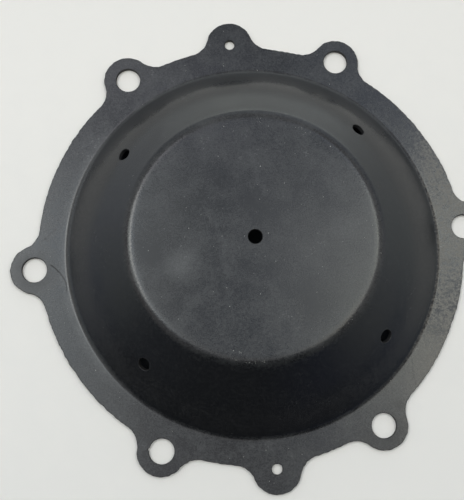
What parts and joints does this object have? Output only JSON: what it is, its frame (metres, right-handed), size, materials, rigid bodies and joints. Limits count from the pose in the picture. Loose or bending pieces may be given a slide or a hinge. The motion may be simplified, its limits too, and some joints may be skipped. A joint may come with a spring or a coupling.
{
  "type": "rubber diaphragm",
  "caption": "Round moulded rubber diaphragm: flat bolting flange with rounded lugs, sloping wall and raised flat disc, hollow beneath.",
  "frame": {"origin": "centre of the flange's underside, on the axis of the centre hole", "axes": "+Z square to the flange, towards the raised disc; +Y towards one of the two lugs with a small locating hole; +X towards a bolt lug"},
  "size_m": [0.1774, 0.1774, 0.021],
  "materials": {
    "rubber": "semi-matte moulded"
  },
  "bodies": {
    "root": {"diaphragm": "rubber"}
  },
  "joints": []
}
